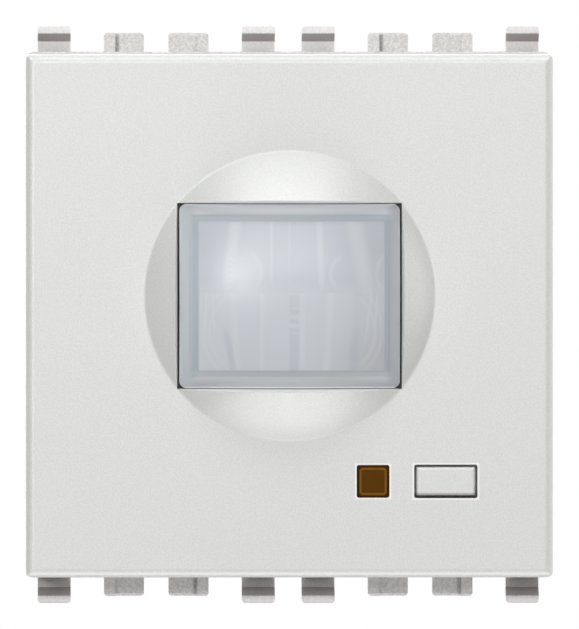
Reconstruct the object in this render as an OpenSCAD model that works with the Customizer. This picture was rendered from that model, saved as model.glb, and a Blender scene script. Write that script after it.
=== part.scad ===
// Motion sensor light switch: a two-module flush wiring device for a wall box.
// X runs to the right, Z runs up and the front looks towards -Y. Sizes are in millimetres.
// The origin is the middle of the seat, where the frame's rear rests on the wall support.

/* [Front cover] */
// Pitch of one wiring-device module
module_pitch = 22.5; // [22:0.1:24]
// Gap that is left between two neighbouring covers
neighbour_gap = 0.2; // [0.1:0.05:0.5]
// Height of the cover
cover_h = 44.4; // [43:0.1:47]
// How far the cover's face stands in front of the seat
cover_front = 9.5; // [9:0.1:12]
// Wall of the cover and of its dome
cover_wall = 1.5; // [1.2:0.1:1.8]
// Rounding of the cover's front edges
cover_edge_r = 0.7; // [0.3:0.05:1]
// Rounding of the cover's corners, seen from the front
cover_corner_r = 0.5; // [0.4:0.05:1.5]

/* [Dome and lens] */
// Radius of the dome where it leaves the face
dome_r = 12.3; // [11.6:0.1:13.2]
// Height of the dome's full crown above the face
dome_rise = 5.7; // [4.5:0.1:7]
// Hollow rounding where the dome leaves the face
dome_fillet_r = 0.35; // [0.2:0.05:0.5]
// Width of the lens window, whose corners reach the dome's rim
window_w = 19.05; // [17:0.05:20]
// How far the window's corners run past the dome's rim
window_overrun = 0.06; // [0.03:0.01:0.2]
// Draft of the window's walls in front of the lens, in degrees
window_draft = 9.5; // [4:0.5:12]
// Gap between the lens and the window's side walls
lens_gap = 0.16; // [0.1:0.01:0.3]
// Gap between the lens and the window's upper and lower walls
lens_end_gap = 0.07; // [0.05:0.01:0.3]
// Wall of the lens
lens_wall = 0.8; // [0.6:0.05:1]
// Rounding of the lens's corners, seen from the front
lens_corner_r = 0.6; // [0.4:0.1:1.4]
// Height of the lens's crown above the face
lens_rise = 3.2; // [2.4:0.1:3.4]
// How far the lens's corners stay behind the face
lens_corner_sink = 0.1; // [0.05:0.05:0.5]
// Width of the lens's rim behind the cover
lens_rim = 2.2; // [1.5:0.1:3]
// Thickness of the lens's rim
lens_rim_t = 0.8; // [0.6:0.1:1.2]
// Plain border between the lens's edge and its segments
lens_border = 1.5; // [1.2:0.1:2]
// Width of the groove that frames the segments
groove_w = 0.6; // [0.3:0.1:0.9]
// Depth of the groove that frames the segments
groove_d = 0.05; // [0.05:0.05:0.2]
// Width of the cuts between and inside the segments
facet_w = 0.2; // [0.15:0.05:0.3]
// Depth of the cuts between and inside the segments
facet_d = 0.2; // [0.1:0.05:0.3]
// Step from one ring of a segment to the next
ring_step = 0.85; // [0.7:0.05:1.2]
// Rings in each segment
rings = 3; // [1:1:4]
// Wall and height of the fence that the lens's rim lies in
fence = 0.9; // [0.7:0.1:1.2]
// Play of the lens's rim in its fence
fence_gap = 0.15; // [0.1:0.05:0.3]
// Thickness of the frame that presses the lens to the cover
retainer_t = 1; // [0.8:0.1:1.4]
// Side of the frame's square legs
retainer_leg = 1.6; // [1.2:0.1:2]

/* [Indicator and key] */
// Height of the indicator's and the key's middle above the cover's lower edge
row_edge = 8.15; // [7.2:0.05:9]
// Height of the dome's rim above the middle of the indicator and the key
row_drop = 3.45; // [3:0.05:4.5]
// Distance of the indicator's middle from the middle of the cover
indicator_x = 7.1; // [6:0.1:8.5]
// Side of the indicator's square opening
indicator_open = 2.78; // [2.2:0.02:3.2]
// Gap round the indicator's head
indicator_gap = 0.05; // [0.03:0.01:0.1]
// How far the indicator's head stands proud of the face
indicator_proud = 0.12; // [0.05:0.01:0.3]
// Space between the indicator's opening and the key's opening
row_space = 2.1; // [1.8:0.1:3]
// Width of the key's opening
key_open_w = 5.38; // [4.5:0.02:6]
// Height of the key's opening
key_open_h = 2.85; // [2.4:0.05:3.4]
// Gap round the key
key_gap = 0.19; // [0.12:0.01:0.25]
// Travel of the key
key_travel = 0.6; // [0.3:0.1:0.8]
// Play between the key's flange and the inside of the cover
key_play = 0.1; // [0.05:0.05:0.2]
// Lip of the key's and the indicator's flange past their openings
flange_lip = 0.5; // [0.4:0.05:0.7]
// Thickness of those flanges
lip_t = 0.8; // [0.6:0.1:1]
// Radius of the key's stem
stem_r = 0.9; // [0.7:0.1:1.1]

/* [Mounting frame] */
// Thickness of the frame's flange
flange_t = 3; // [2.4:0.1:3.6]
// How far the flange shows above and below the cover
flange_show = 0.2; // [0.1:0.05:0.6]
// Rounding of the flange's front edges
flange_edge_r = 0.2; // [0.1:0.02:0.4]
// How far the flange stays behind the cover's sides
flange_inset = 0.2; // [0.1:0.05:0.5]
// Depth of the collar that the cover snaps on
collar_d = 3; // [2.4:0.1:3.6]
// Wall of the collar
collar_wall = 1.4; // [1.1:0.1:1.8]
// Gap between the collar and the cover
collar_gap = 0.15; // [0.1:0.05:0.25]
// Radius of the ridges that the cover snaps over
ridge_r = 0.4; // [0.3:0.05:0.5]
// Length of one ridge
ridge_l = 8; // [5:0.5:10]
// Distance of the ridges above and below the middle
ridge_z = 10; // [7:0.5:12]
// Width of the flange's seat above and below the body
seat_rim = 2.1; // [1.8:0.1:3]
// How far the body stays behind the cover's sides
body_inset = 0.7; // [0.5:0.1:1.2]
// Depth of the skirt behind the seat
skirt_d = 5; // [4.5:0.1:6]
// Wall of the skirt
skirt_wall = 1; // [0.8:0.1:1.3]
// Ledge that the sensor board rests on
board_ledge = 1.4; // [1:0.1:1.8]

/* [Snap teeth] */
// Height of the frame over its hooks
tooth_span = 49.2; // [48.6:0.1:51]
// Distance of a hook from the middle of its module
hook_offset = 8.7; // [8.2:0.1:9]
// Width of a hook
hook_w = 2.8; // [2.2:0.1:3.2]
// Thickness of a hook
hook_t = 1.1; // [0.8:0.1:1.4]
// Radius of the bead along a hook's tip
bead_r = 0.64; // [0.5:0.02:0.7]
// How far the bead's front lies in front of the seat
bead_front = 2.8; // [2.4:0.1:2.9]
// Height of the slope from the bead down to the hook
bead_slope = 0.7; // [0.5:0.05:0.9]
// Distance of a lug from the middle of its module
lug_offset = 2.75; // [2.3:0.05:3.4]
// Width of a lug
lug_w = 3.4; // [2.6:0.1:4]
// How far a lug stays short of the hooks' tips
lug_drop = 0.6; // [0.3:0.1:1]
// Thickness of a lug
lug_t = 1.6; // [1.2:0.1:2]
// Chamfer along a lug's tip
lug_chamfer = 0.22; // [0.1:0.02:0.4]
// Width of the proud strip on a lug's outer side
strip_w = 0.95; // [0.6:0.05:1.2]
// Thickness of a lug at its strip
strip_t = 2.4; // [2.1:0.1:2.9]

/* [Rear housing] */
// Wall of the lip that plugs into the skirt
lip_wall = 0.9; // [0.7:0.1:1.2]
// Gap between the lip and the skirt
lip_gap = 0.1; // [0.05:0.05:0.2]
// Wall at the back
back_wall = 1.8; // [1.4:0.1:2.4]
// Rounding of the edges at the back
back_edge_r = 1; // [0.5:0.1:1.5]
// Rounding of the body's long corners
body_corner_r = 1.6; // [1.2:0.1:2]
// Width of the shallow recess for a rating plate at the back
plate_w = 32; // [24:1:36]
// Height of the recess for a rating plate
plate_h = 18; // [12:1:20]
// Depth of the recess for a rating plate
plate_d = 0.4; // [0.2:0.1:0.6]
// Length of a snap barb
barb_l = 4.6; // [3:0.2:6]
// Depth of a snap barb along the body
barb_d = 1.6; // [1.2:0.1:2]
// Height of a snap barb, short of the skirt's outside
barb_h = 0.8; // [0.5:0.05:0.9]
// Distance of the barbs above and below the middle
barb_z = 9; // [6:0.5:12]
// Gap round a barb in its window
barb_gap = 0.2; // [0.1:0.05:0.3]
// Height of the posts that the power board rests on
post_h = 3; // [2:0.5:4]

/* [Boards] */
// Thickness of both boards
pcb_t = 1.6; // [1:0.1:2]
// How far the sensor board's front lies behind the seat
board_in = 0.2; // [0.1:0.05:0.4]
// Gap round the sensor board
board_gap = 0.3; // [0.2:0.05:0.5]
// Gap round the power board
power_gap = 0.4; // [0.3:0.05:0.6]
// Space between the two boards
board_space = 13.2; // [12.6:0.2:16]
// Gap round a lead in its hole
lead_gap = 0.1; // [0.05:0.05:0.2]
// How far leads stand out behind their board
lead_end = 1; // [0.6:0.1:1.4]

/* [Sensor board parts] */
// Height of the spacer under the heat sensor
holder_h = 1; // [0.6:0.1:1.6]
// Radius of the heat sensor's base
pir_base_r = 4.6; // [4.2:0.1:4.8]
// Thickness of the heat sensor's base
pir_base_t = 0.5; // [0.4:0.1:0.8]
// Radius of the heat sensor's can
pir_can_r = 4.1; // [3.8:0.1:4.3]
// Height of the heat sensor's can
pir_can_h = 3.7; // [3:0.1:4]
// Wall of the can
pir_can_wall = 0.3; // [0.2:0.05:0.4]
// Side of the can's window
pir_open = 4.2; // [3.4:0.1:4.6]
// Thickness of the filter behind the can's window
pir_filter_t = 0.4; // [0.3:0.1:0.6]
// Radius of the circle on which the leads stand
pir_lead_circle = 2.54; // [2.2:0.02:2.9]
// Radius of a heat sensor lead
pir_lead_r = 0.23; // [0.2:0.01:0.3]
// Width of the lamp behind the indicator
led_w = 3.2; // [2.6:0.1:3.6]
// Height of the lamp
led_h = 2.4; // [1.8:0.1:2.8]
// Thickness of the lamp's body
led_t = 1.1; // [0.8:0.1:1.4]
// Radius of the lamp's round lens
led_lens_r = 0.9; // [0.7:0.1:1]
// Height of the lamp's round lens
led_lens_h = 0.6; // [0.4:0.1:0.8]
// Gap between the lamp and the indicator's guide
led_gap = 0.3; // [0.2:0.05:0.5]
// Distance of the light sensor to the left of the heat sensor
light_sensor_x = 6.8; // [6.2:0.1:7.4]
// Width of the light sensor
light_sensor_w = 2; // [1.6:0.1:2.4]
// Height of the light sensor
light_sensor_h = 1.6; // [1.2:0.1:2]
// Thickness of the light sensor
light_sensor_t = 0.8; // [0.6:0.1:1.2]
// Width of the switch under the key
tact_w = 6; // [5:0.1:6.4]
// Height of the switch under the key
tact_h = 3.5; // [3:0.1:4]
// Depth of the switch's body
tact_d = 3.4; // [3:0.1:3.6]
// How far the switch's plunger stands out of its body
plunger_out = 1.4; // [1.1:0.1:1.6]
// How far the plunger reaches into the body
plunger_in = 0.8; // [0.6:0.1:1]
// Radius of the plunger
plunger_r = 1; // [0.8:0.05:1.2]
// Gap round the plunger
plunger_gap = 0.08; // [0.05:0.01:0.12]
// Gap between the key's stem and the plunger
touch_gap = 0.05; // [0.03:0.01:0.1]
// Length of the controller chip
chip_l = 8.7; // [8:0.1:10]
// Width of the controller chip
chip_w = 3.9; // [3.5:0.1:4.5]
// Thickness of the controller chip
chip_t = 1.5; // [1.2:0.1:2]
// Distance of the chip to the right of the heat sensor
chip_x = 9.5; // [8:0.1:11]
// Leads on each side of the chip
chip_leads = 7; // [4:1:8]
// Pitch of the chip's leads
chip_pitch = 1.2; // [1:0.05:1.27]

/* [Power board parts] */
// Pins in the link between the boards
header_pins = 6; // [4:1:7]
// Pitch of those pins
header_pitch = 2.54; // [2:0.02:2.6]
// Radius of a pin
header_pin_r = 0.32; // [0.25:0.01:0.4]
// Distance of the pins from the power board's edge
header_edge = 2.6; // [2:0.1:3]
// Width and height of the link's strip
header_body = 2.5; // [2.2:0.1:3]
// Width of the relay
relay_w = 19; // [17:0.2:20]
// Height of the relay
relay_h = 10; // [9:0.1:10.6]
// Depth of the relay
relay_d = 10.2; // [9:0.1:11]
// Distance of the relay from the power board's side
relay_side = 2.6; // [2:0.1:3]
// Distance of the relay from the power board's top edge
relay_top = 1.4; // [1:0.1:2]
// Space between neighbouring parts on the power board
part_space = 1; // [0.8:0.1:1.3]
// Width of the film capacitor
film_w = 13; // [11:0.2:14]
// Height of the film capacitor
film_h = 5; // [4:0.1:5.5]
// Depth of the film capacitor
film_d = 9.6; // [8:0.1:11]
// Radius of the electrolytic capacitor
can_r = 4; // [3.2:0.1:4.2]
// Length of the electrolytic capacitor
can_l = 10.6; // [9:0.1:11]
// Radius of the varistor's disc
varistor_r = 4.1; // [3.5:0.1:4.3]
// Thickness of the varistor's disc
varistor_t = 3.4; // [2.8:0.1:3.8]
// Radius of the fuse resistor
fuse_r = 1.7; // [1.4:0.1:1.9]
// Length of the fuse resistor
fuse_l = 8.6; // [7:0.1:10]
// Height of the varistor and the fuse resistor above the board
stand_off = 1; // [0.6:0.1:1.4]
// Radius of the parts' leads
part_lead_r = 0.4; // [0.3:0.05:0.5]

/* [Terminals] */
// Number of terminals
terminals = 4; // [3:1:4]
// Pitch of the terminals
terminal_pitch = 8.6; // [8.2:0.1:9]
// Gap between neighbouring terminal bodies
terminal_gap = 0.1; // [0.05:0.05:0.2]
// How far the terminal bodies stay inside the housing's outline
terminal_inset = 0.2; // [0.1:0.05:0.4]
// Radius of the wire entry
wire_r = 1.4; // [1.2:0.05:1.6]
// Room in the open cage beyond the wire's thickness
wire_room = 0.2; // [0.1:0.05:0.4]
// Gap that is left when the cage is fully raised
wire_min = 0.6; // [0.4:0.1:1]
// Wall of a terminal body round its wire entry
entry_wall = 1.8; // [1.4:0.1:2.4]
// Wall of a terminal body at its back and top
block_wall = 1.3; // [1:0.1:1.6]
// Width of a cage
cage_w = 6.4; // [6:0.1:6.8]
// Height of a cage along the wire
cage_h = 6; // [5.4:0.1:6.6]
// Wall of a cage
cage_wall = 1; // [0.8:0.1:1.2]
// Wall of a cage at its thread
nut_t = 1.3; // [1:0.1:1.6]
// Play round a cage in its pocket
cage_play = 0.15; // [0.1:0.05:0.2]
// Clear space before and behind a cage's travel
cage_clear = 0.4; // [0.3:0.05:0.6]
// Thickness of the contact bar
bar_t = 1; // [0.8:0.1:1.2]
// Width of the contact bar's leg
bar_leg_w = 2; // [1.6:0.1:2.4]
// Radius of a terminal screw's shank
screw_r = 1.5; // [1.25:0.05:1.6]
// Gap between the shank and the cage's thread
thread_gap = 0.05; // [0.03:0.01:0.08]
// Radius of a terminal screw's head
head_r = 2.3; // [2.2:0.05:2.6]
// Height of a terminal screw's head
head_h = 1.6; // [1.3:0.1:2]
// Radius of the hole for the screwdriver
driver_r = 2; // [1.8:0.05:2.1]
// Width of the slot in a screw's head
slot_w = 0.7; // [0.5:0.05:0.9]
// Depth of the slot in a screw's head
slot_d = 0.8; // [0.6:0.1:1]

/* [Hidden] */
$fn = 64;
// Reach of a cut past the face that it opens
cut = 1;
// Depth to which joined forms run into each other
sunk = 0.3;

// Cover
cover_w = 2 * module_pitch - neighbour_gap;
face_y = -cover_front;
inside_y = face_y + cover_wall;
cover_in_w = cover_w - 2 * cover_wall;
cover_in_h = cover_h - 2 * cover_wall;
cover_in_r = 0.5;
row_z = row_edge - cover_h / 2;

// Dome and window
dome_z = row_z + row_drop + dome_r;
dome_sphere_r = (pow(dome_r, 2) + pow(dome_rise, 2)) / (2 * dome_rise);
dome_y = face_y - dome_rise + dome_sphere_r;
window_h = 2 * sqrt(pow(dome_r + window_overrun, 2) - pow(window_w / 2, 2));
window_front_y = face_y - dome_rise - cut;
// The dome's fillet meets the sphere and the face at a slight angle instead of running out to nothing
fillet_lift = dome_fillet_r - 0.005;
fillet_reach = dome_sphere_r + fillet_lift;
sphere_depth = dome_sphere_r - dome_rise;
fillet_x = sqrt(pow(fillet_reach, 2) - pow(sphere_depth + fillet_lift, 2));
fillet_foot_x = fillet_x * dome_sphere_r / fillet_reach;
fillet_foot_h = (sphere_depth + fillet_lift) * dome_sphere_r / fillet_reach - sphere_depth;

// Lens
lens_w = window_w - 2 * lens_gap;
lens_h = window_h - 2 * lens_end_gap;
lens_front_y = face_y - lens_rise;
lens_sag = lens_rise + lens_corner_sink;
lens_sphere_r = (pow(lens_w / 2, 2) + pow(lens_h / 2, 2) + pow(lens_sag, 2)) / (2 * lens_sag);
lens_centre_y = lens_front_y + lens_sphere_r;
rim_w = window_w + 2 * lens_rim;
rim_h = window_h + 2 * lens_rim;
rim_back_y = inside_y + lens_rim_t;
segment_w = lens_w - 2 * lens_border;
segment_h = lens_h - 2 * lens_border;
// Edges of the segments in each row as [at the row's top, at the row's bottom], right of the middle
upper_edges = [[2.1, 2.1], [5, 5.7]];
lower_edges = [[0.6, 0.6], [2.9, 2.9], [5.9, 5.2]];
retainer_y = rim_back_y + retainer_t;

// Sensor board
board_y = board_in;
board_back_y = board_y + pcb_t;
pir_back_y = board_y - holder_h;
can_back_y = pir_back_y - pir_base_t;
can_front_y = can_back_y - pir_can_h;

// Indicator and key
key_x = indicator_x + indicator_open / 2 + row_space + key_open_w / 2;
opening_r = 0.2;
head_corner_r = 0.1;
head_edge_r = 0.25;
led_front_y = board_y - led_t - led_lens_h;
tact_front_y = board_y - tact_d;
plunger_front_y = tact_front_y - plunger_out;

// Mounting frame
collar_w = cover_in_w - 2 * collar_gap;
collar_h = cover_in_h - 2 * collar_gap;
collar_front_y = -flange_t - collar_d;
flange_w = cover_w - 2 * flange_inset;
flange_h = cover_h + 2 * flange_show;
body_w = cover_w - 2 * body_inset;
body_h = flange_h - 2 * seat_rim;
skirt_in_w = body_w - 2 * skirt_wall;
skirt_in_h = body_h - 2 * skirt_wall;
skirt_in_r = body_corner_r - skirt_wall;
board_w = skirt_in_w - 2 * board_gap;
board_h = skirt_in_h - 2 * board_gap;
hook_tip = tooth_span / 2;
lug_tip = hook_tip - lug_drop;
tooth_corner_r = 0.3;

// Rear housing and power board
lip_w = skirt_in_w - 2 * lip_gap;
lip_h = skirt_in_h - 2 * lip_gap;
lip_r = skirt_in_r - lip_gap;
housing_in_w = lip_w - 2 * lip_wall;
housing_in_h = lip_h - 2 * lip_wall;
housing_in_r = 0.3;
barb_y = board_back_y + barb_gap;
power_y = board_back_y + board_space;
power_back_y = power_y + pcb_t;
power_w = housing_in_w - 2 * power_gap;
power_h = housing_in_h - 2 * power_gap;

// Power board parts
header_x = -power_w / 2 + header_edge;
header_z = power_h / 2 - relay_top - header_pins * header_pitch / 2;
relay_x = power_w / 2 - relay_side - relay_w / 2;
relay_z = power_h / 2 - relay_top - relay_h / 2;
can_x = relay_x - relay_w / 2 - part_space - can_r;
can_z = power_h / 2 - relay_top - can_r;
film_x = power_w / 2 - relay_side - film_w / 2;
film_z = relay_z - relay_h / 2 - part_space - film_h / 2;
varistor_x = can_x;
varistor_z = can_z - can_r - part_space - varistor_t / 2;
varistor_y = power_y - stand_off - varistor_r;
fuse_x = film_x;
fuse_z = film_z - film_h / 2 - part_space - fuse_r;
fuse_y = power_y - stand_off - fuse_r;
fuse_lead_x = fuse_l / 2 + 2 * part_lead_r;

// Terminals, from the power board to the back
cage_y = power_back_y + cage_clear;
wire_gap = 2 * wire_r + wire_room;
wire_y = cage_y + cage_wall + wire_gap / 2;
bar_y = cage_y + cage_wall + wire_gap;
bar_back_y = bar_y + bar_t;
nut_y = bar_back_y + cage_clear;
nut_back_y = nut_y + nut_t;
cage_travel = wire_gap - wire_min;
head_y = nut_back_y + cage_travel + cage_clear;
pocket_back_y = head_y + head_h + cage_play;
block_back_y = pocket_back_y + block_wall;
back_y = block_back_y + terminal_inset;
// Terminals, from the wire entry upwards
block_z = -body_h / 2 + terminal_inset;
pocket_z = block_z + entry_wall;
cage_z = pocket_z + cage_play;
screw_z = cage_z + cage_h / 2;
leg_z = cage_z + cage_h + cage_clear;
pocket_top_z = leg_z + bar_t + cage_play;
block_top_z = pocket_top_z + block_wall;
plate_z = (block_top_z + body_h / 2) / 2;
plate_corner_r = 0.8;
// Terminals, from side to side
block_w = terminal_pitch - terminal_gap;
pocket_w = cage_w + 2 * cage_play;
cage_in_w = cage_w - 2 * cage_wall;
bar_w = cage_in_w - 2 * cage_play;
notch_half_w = terminals * terminal_pitch / 2 + cage_play;
notch_y = power_back_y - cage_play;
post_w = housing_in_w / 2 - notch_half_w - cage_play;
function terminal_x(i) = (i - (terminals + 1) / 2) * terminal_pitch;

// Extrudes an outline drawn in X and Z from one depth to another.
module along_y(from, to) {
    translate([0, to, 0])
        rotate([90, 0, 0])
            linear_extrude(to - from)
                children();
}

// Extrudes an outline drawn in Y and Z, to both sides of the middle.
module along_x(half) {
    translate([-half, 0, 0])
        rotate([90, 0, 90])
            linear_extrude(2 * half)
                children();
}

// Extrudes an outline drawn in Y and X, up and down from the middle.
module along_z(half) {
    linear_extrude(2 * half, center = true)
        rotate(90)
            children();
}

// A round bar along Y at a place in X and Z.
module rod_y(x, z, r, from, to) {
    translate([x, to, z])
        rotate([90, 0, 0])
            cylinder(h = to - from, r = r);
}

// A rectangle with round corners about the middle.
module round_rect(w, h, r) {
    square([w - 2 * r, h], center = true);
    square([w, h - 2 * r], center = true);
    for (sx = [-1, 1], sz = [-1, 1])
        translate([sx * (w / 2 - r), sz * (h / 2 - r)])
            circle(r);
}

// Section of a block whose two corners at depth "edge" are round, open towards depth "far".
module eased_section(size, edge, far, r) {
    inward = sign(far - edge);
    straight_y = edge + inward * r;
    polygon([
        [straight_y, size / 2], [far, size / 2], [far, -size / 2], [straight_y, -size / 2]
    ]);
    polygon([
        [edge, size / 2 - r], [straight_y, size / 2 - r],
        [straight_y, r - size / 2], [edge, r - size / 2]
    ]);
    for (s = [-1, 1])
        translate([straight_y, s * (size / 2 - r)])
            circle(r);
}

// A block from one depth to another with round long corners, and round edges at depth "edge".
module eased_block(w, h, edge, far, corner_r, edge_r) {
    beyond = far + sign(far - edge) * cut;
    intersection() {
        along_y(min(edge, far), max(edge, far))
            round_rect(w, h, corner_r);
        along_x(w)
            eased_section(h, edge, beyond, edge_r);
        along_z(h)
            eased_section(w, edge, beyond, edge_r);
    }
}

// Section of a ring about the lens's middle: as wide as the window at the lens's front, wider outside.
module flare_section(size) {
    edge_r = sqrt(pow(lens_sphere_r, 2) - pow(size / 2, 2));
    flare_d = dome_rise + cut;
    flare = flare_d * tan(window_draft);
    polygon([
        [edge_r, size / 2], [edge_r + flare_d, size / 2 + flare],
        [edge_r + flare_d, -size / 2 - flare], [edge_r, -size / 2]
    ]);
}

// The lens window through the dome: straight down to the lens, with drafted walls in front of it.
module window_cut() {
    translate([0, 0, dome_z]) {
        along_y(window_front_y, inside_y + cut)
            square([window_w, window_h], center = true);
        intersection() {
            translate([0, lens_centre_y, 0])
                rotate_extrude()
                    flare_section(window_h);
            along_y(window_front_y, inside_y)
                square([window_w, 2 * window_h], center = true);
        }
        intersection() {
            translate([0, lens_centre_y, 0])
                rotate([0, 90, 0])
                    rotate_extrude()
                        flare_section(window_w);
            along_y(window_front_y, inside_y)
                square([2 * window_w, window_h], center = true);
        }
    }
}

// The front half of the dome's outer sphere, down to the inside of the cover.
module dome_outside() {
    intersection() {
        translate([0, dome_y, dome_z])
            sphere(dome_sphere_r);
        along_y(window_front_y, inside_y)
            translate([0, dome_z])
                circle(dome_r + cover_wall);
    }
}

// The hollow rounding between the dome and the face.
module dome_fillet() {
    translate([0, face_y, dome_z])
        rotate([90, 0, 0])
            rotate_extrude()
                difference() {
                    polygon([
                        [fillet_foot_x, fillet_foot_h], [fillet_foot_x - sunk, -sunk],
                        [fillet_x, -sunk], [fillet_x, fillet_lift]
                    ]);
                    translate([fillet_x, fillet_lift])
                        circle(dome_fillet_r);
                }
}

// Painted front cover with its dome, openings, snap grooves and the fence for the lens.
module front_cover() {
    color("silver") {
        difference() {
            union() {
                eased_block(cover_w, cover_h, face_y, -flange_t, cover_corner_r, cover_edge_r);
                dome_outside();
                dome_fillet();
            }
            along_y(inside_y, -flange_t + cut)
                round_rect(cover_in_w, cover_in_h, cover_in_r);
            translate([0, dome_y, dome_z])
                sphere(dome_sphere_r - cover_wall);
            window_cut();
            along_y(face_y - cut, inside_y + cut)
                translate([indicator_x, row_z])
                    round_rect(indicator_open, indicator_open, opening_r);
            along_y(face_y - cut, inside_y + cut)
                translate([key_x, row_z])
                    round_rect(key_open_w, key_open_h, opening_r);
            snap_ridges(ridge_r + lip_gap, ridge_l + 2 * barb_gap);
        }
        along_y(inside_y - sunk, rim_back_y + fence)
            translate([0, dome_z])
                difference() {
                    square([rim_w + 2 * (fence + fence_gap), rim_h + 2 * (fence + fence_gap)], center = true);
                    square([rim_w + 2 * fence_gap, rim_h + 2 * fence_gap], center = true);
                }
    }
}

// The round ridges on the collar's sides, or the grooves that they snap into.
module snap_ridges(r, l) {
    for (sx = [-1, 1], sz = [-1, 1])
        translate([sx * collar_w / 2, (collar_front_y - flange_t) / 2, sz * ridge_z])
            cylinder(h = l, r = r, center = true);
}

// The sphere that the lens's front is part of, or one about the same middle.
module lens_sphere(r) {
    translate([0, lens_centre_y, 0])
        sphere(r);
}

// Extrudes an outline drawn in X and Z through the lens's wall.
module through_lens() {
    along_y(lens_front_y, face_y + lens_wall)
        children();
}

// Tubes about a line from the middle of the lens's sphere to a point of its front.
module ring_tubes(x, z) {
    lift = asin(z / lens_sphere_r);
    turn = asin(x / (lens_sphere_r * cos(lift)));
    translate([0, lens_centre_y, 0])
        rotate([90 - lift, 0, turn])
            linear_extrude(lens_sphere_r)
                for (k = [1:rings])
                    difference() {
                        circle(k * ring_step + facet_w / 2);
                        circle(k * ring_step - facet_w / 2);
                    }
}

// One segment's outline between two edges of its row.
module segment(left, right, top, bottom) {
    polygon([[left[0], top], [right[0], top], [right[1], bottom], [left[1], bottom]]);
}

// The cuts between the segments of one row and the rings inside its segments.
module segment_row(edges, top, bottom) {
    side = [segment_w / 2, segment_w / 2];
    left_to_right = concat(
        [-side], [for (i = [len(edges) - 1:-1:0]) -edges[i]], edges, [side]
    );
    through_lens()
        for (e = concat(-edges, edges))
            polygon([
                [e[0] - facet_w / 2, top], [e[0] + facet_w / 2, top],
                [e[1] + facet_w / 2, bottom], [e[1] - facet_w / 2, bottom]
            ]);
    for (i = [0:len(left_to_right) - 2]) {
        left = left_to_right[i];
        right = left_to_right[i + 1];
        intersection() {
            through_lens()
                segment(left, right, top, bottom);
            ring_tubes((left[0] + left[1] + right[0] + right[1]) / 4, (top + bottom) / 2);
        }
    }
}

// All cuts on the inside of the lens, through its whole wall.
module segment_lines() {
    through_lens()
        square([segment_w, facet_w], center = true);
    segment_row(upper_edges, segment_h / 2, 0);
    segment_row(lower_edges, 0, -segment_h / 2);
}

// Milky lens cap: a domed front with segments, straight sides and a rim behind the cover.
module fresnel_lens() {
    color("aliceblue")
        translate([0, 0, dome_z])
            difference() {
                union() {
                    intersection() {
                        lens_sphere(lens_sphere_r);
                        along_y(lens_front_y - cut, rim_back_y)
                            round_rect(lens_w, lens_h, lens_corner_r);
                    }
                    along_y(inside_y, rim_back_y)
                        square([rim_w, rim_h], center = true);
                }
                intersection() {
                    lens_sphere(lens_sphere_r - lens_wall);
                    along_y(lens_front_y, rim_back_y + cut)
                        square([lens_w - 2 * lens_wall, lens_h - 2 * lens_wall], center = true);
                }
                intersection() {
                    difference() {
                        lens_sphere(lens_sphere_r + cut);
                        lens_sphere(lens_sphere_r - groove_d);
                    }
                    along_y(lens_front_y - cut, face_y)
                        difference() {
                            square([segment_w + 2 * groove_w, segment_h + 2 * groove_w], center = true);
                            square([segment_w, segment_h], center = true);
                        }
                }
                intersection() {
                    difference() {
                        lens_sphere(lens_sphere_r - lens_wall + facet_d);
                        lens_sphere(lens_sphere_r - lens_wall - facet_d);
                    }
                    segment_lines();
                }
            }
}

// Black frame that presses the lens's rim to the cover, on four legs that stand on the sensor board.
module lens_retainer() {
    color("dimgray")
        translate([0, 0, dome_z]) {
            along_y(rim_back_y, retainer_y)
                difference() {
                    square([rim_w, rim_h], center = true);
                    square([lens_w - 2 * lens_wall, lens_h - 2 * lens_wall], center = true);
                }
            for (sx = [-1, 1], sz = [-1, 1])
                along_y(retainer_y - sunk, board_y)
                    translate([sx * (rim_w - retainer_leg) / 2, sz * (rim_h - retainer_leg) / 2])
                        square(retainer_leg, center = true);
        }
}

// Amber light guide: a square head in the face, a flange behind it and a guide down to the lamp.
module indicator_window() {
    head = indicator_open - 2 * indicator_gap;
    lip = indicator_open + 2 * flange_lip;
    guide = indicator_open - 2 * flange_lip;
    color("darkgoldenrod")
        translate([indicator_x, 0, row_z]) {
            eased_block(head, head, face_y - indicator_proud, inside_y + sunk, head_corner_r, head_edge_r);
            along_y(inside_y, inside_y + lip_t)
                square(lip, center = true);
            along_y(inside_y, led_front_y - led_gap)
                square(guide, center = true);
        }
}

// Painted key: a head in the face, a flange that holds it in the cover and a stem to the switch.
module push_key() {
    lip_y = inside_y + key_play;
    color("silver")
        translate([key_x, 0, row_z]) {
            eased_block(
                key_open_w - 2 * key_gap, key_open_h - 2 * key_gap,
                face_y, lip_y + sunk, head_corner_r, head_edge_r
            );
            along_y(lip_y, lip_y + lip_t)
                square([key_open_w + 2 * flange_lip, key_open_h + 2 * flange_lip], center = true);
            rod_y(0, 0, stem_r, lip_y + sunk, plunger_front_y - touch_gap);
        }
}

// One snap hook above the body: a tongue with a round bead along its tip and a slope under the bead.
module hook() {
    root = flange_h / 2 - sunk;
    bead_z = hook_tip - bead_r;
    bead_y = bead_r - bead_front;
    slope_z = bead_z - bead_slope;
    intersection() {
        along_x(hook_w)
            union() {
                polygon([
                    [0, root], [0, bead_z], [bead_y, hook_tip], [bead_y, bead_z],
                    [-bead_front, bead_z], [-hook_t, slope_z], [-hook_t, root]
                ]);
                translate([bead_y, bead_z])
                    intersection() {
                        circle(bead_r);
                        translate([-bead_r, 0])
                            square([2 * bead_r, bead_r]);
                    }
            }
        along_y(-bead_front - cut, cut)
            round_rect(hook_w, 2 * hook_tip, tooth_corner_r);
    }
}

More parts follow.
